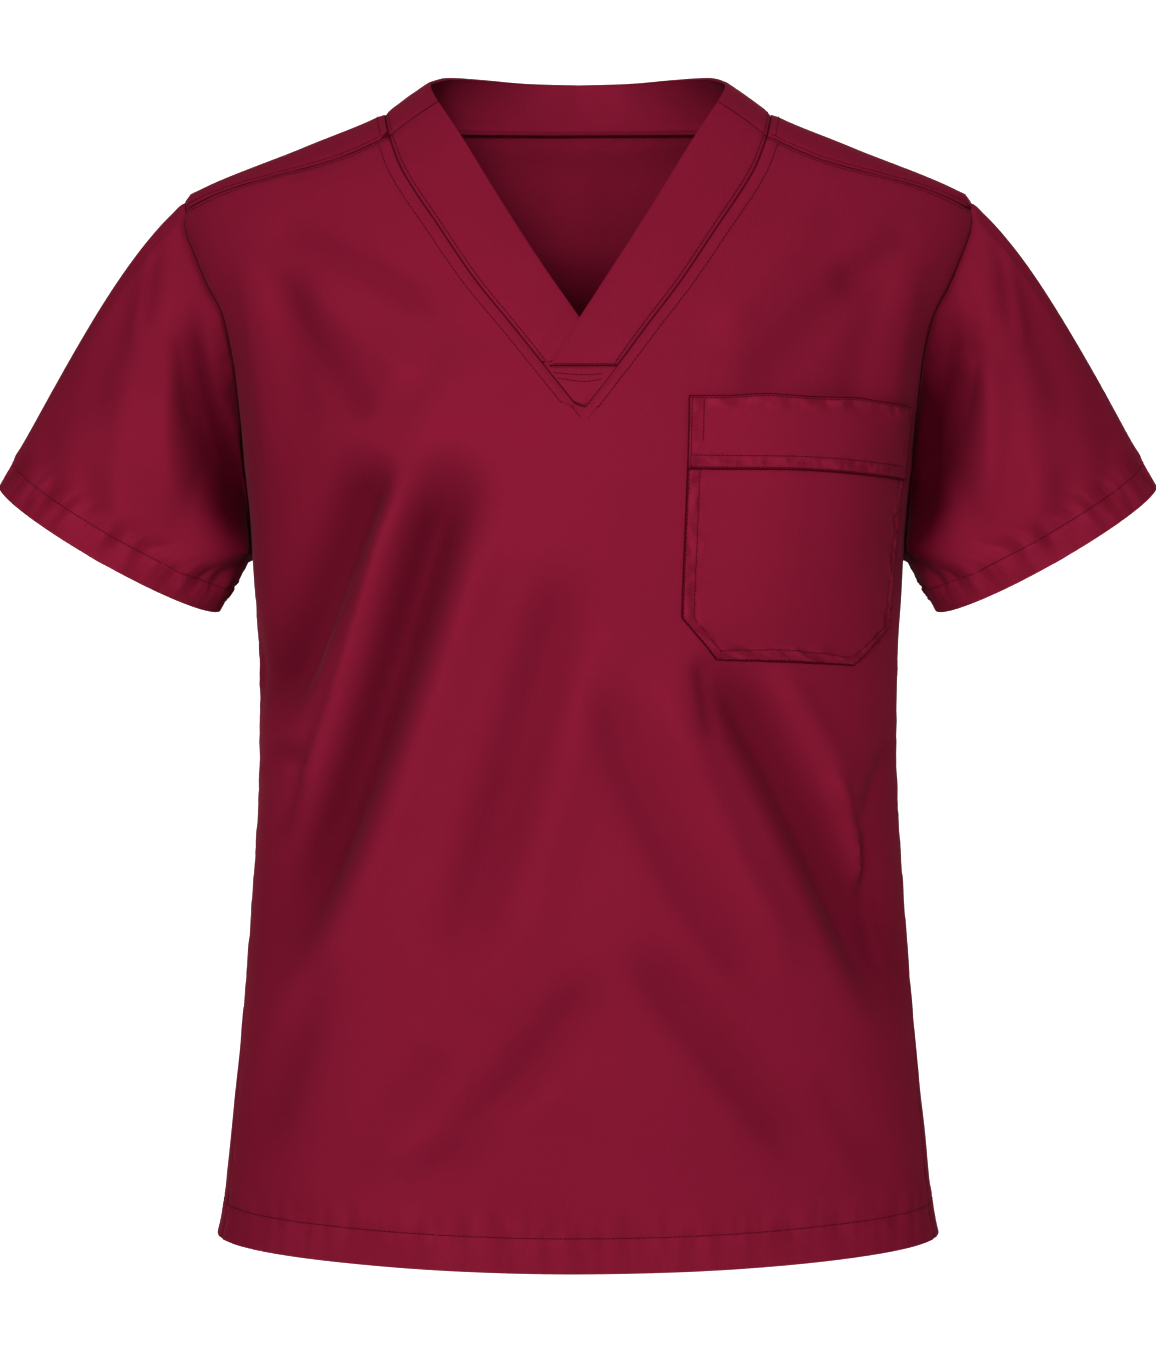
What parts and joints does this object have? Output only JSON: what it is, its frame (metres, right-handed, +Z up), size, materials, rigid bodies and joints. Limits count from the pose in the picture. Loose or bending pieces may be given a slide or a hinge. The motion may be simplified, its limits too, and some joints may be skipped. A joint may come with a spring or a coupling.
{
  "type": "scrub top",
  "caption": "Short-sleeved V-neck medical scrub top in wine-red cloth, filled out as worn, with a lapped neckband and one banded chest pocket.",
  "frame": {"origin": "midway between the shoulders, level with the neck seam where it crosses the shoulder ridge, where the wearer holds it up", "axes": "+Z up, the front faces -Y, +X to the wearer's left"},
  "size_m": [0.7156, 0.2313, 0.7323],
  "materials": {
    "wine_cloth": "soft satin sheen, fine twill weave",
    "band_cloth": "soft satin sheen, fine twill weave, stitched double"
  },
  "bodies": {
    "root": {"front_panel": "wine_cloth", "back_panel": "wine_cloth", "sleeve_left": "wine_cloth", "sleeve_right": "wine_cloth", "pocket": "wine_cloth", "pocket_band": "wine_cloth", "neckband_back": "band_cloth", "neckband_left": "band_cloth", "neckband_right": "band_cloth", "v_inset": "band_cloth"}
  },
  "joints": []
}
